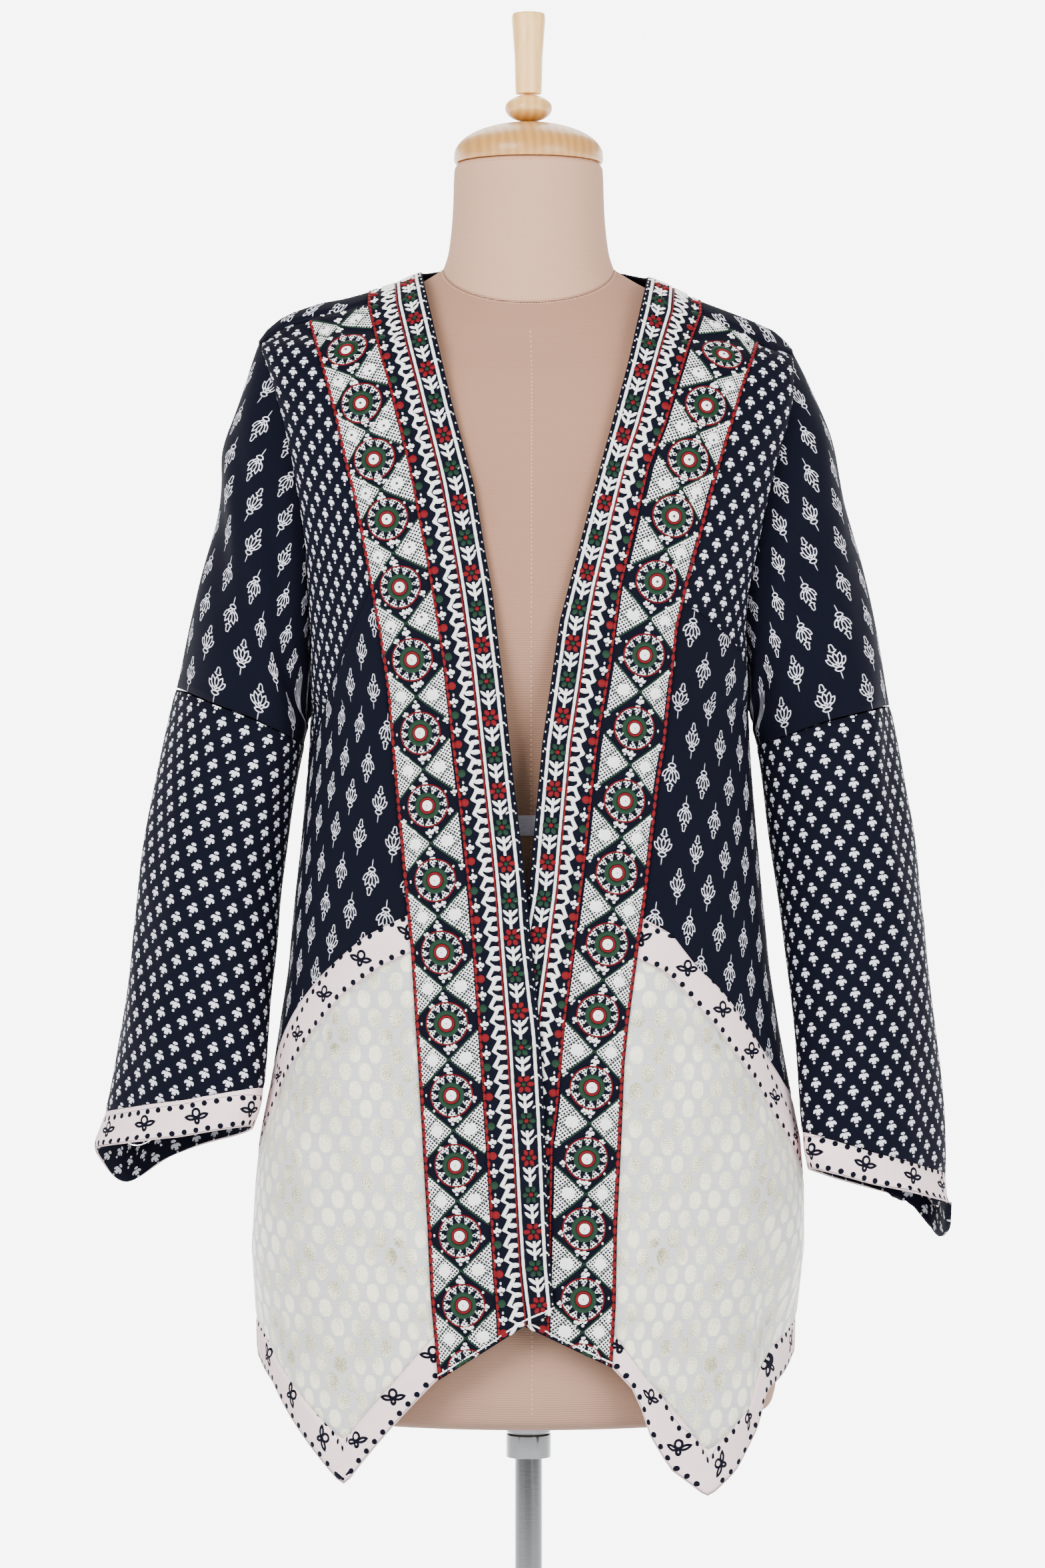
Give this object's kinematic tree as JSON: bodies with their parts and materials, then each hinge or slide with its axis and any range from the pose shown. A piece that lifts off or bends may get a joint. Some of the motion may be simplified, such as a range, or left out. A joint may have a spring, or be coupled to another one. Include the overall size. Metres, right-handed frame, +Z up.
{
  "type": "embroidered jacket on a dress form",
  "caption": "Open-front embroidered jacket with pointed hems and pink bands, on a limbless dress form with a round base.",
  "frame": {"origin": "centre of the round base's underside, on the floor", "axes": "+Z up, the jacket's front faces -Y, the wearer's left is +X"},
  "size_m": [0.5644, 0.34, 1.5186],
  "materials": {
    "lotus_print": "matt navy cloth with a white outline lotus print",
    "flower_print": "matt navy cloth with a small white flower print",
    "embroidered_border": "navy cloth under raised white, red and green thread",
    "pink_band": "matt pink cloth with navy stitched dots and bows",
    "cream_brocade": "off-white slub cloth with pale metallic dots",
    "form_knit": "skin-beige fine ribbed knit",
    "neck_knit": "lighter pink-beige fine ribbed knit",
    "waist_tape": "grey woven tape",
    "pale_wood": "pale wood, satin",
    "polished_steel": "polished",
    "base_steel": "brushed"
  },
  "bodies": {
    "root": {"base": "base_steel", "pole": "polished_steel", "pole_collar": "polished_steel", "form_torso": "form_knit", "form_neck": "neck_knit", "neck_cap": "pale_wood", "cap_ball": "pale_wood", "cap_finial": "pale_wood", "waist_tape": "waist_tape", "flower_band_right": "embroidered_border", "flower_band_left": "embroidered_border", "medallion_panel_right": "embroidered_border", "medallion_panel_left": "embroidered_border", "yoke_right": "flower_print", "yoke_left": "flower_print", "front_right": "lotus_print", "front_left": "lotus_print", "arch_band_right": "pink_band", "arch_band_left": "pink_band", "skirt_right": "cream_brocade", "skirt_left": "cream_brocade", "hem_band_right": "pink_band", "hem_band_left": "pink_band", "sleeve_upper_right": "lotus_print", "sleeve_upper_left": "lotus_print", "sleeve_lower_right": "flower_print", "sleeve_lower_left": "flower_print", "cuff_right": "pink_band", "cuff_left": "pink_band", "back": "lotus_print", "back_hem_band": "pink_band"}
  },
  "joints": []
}
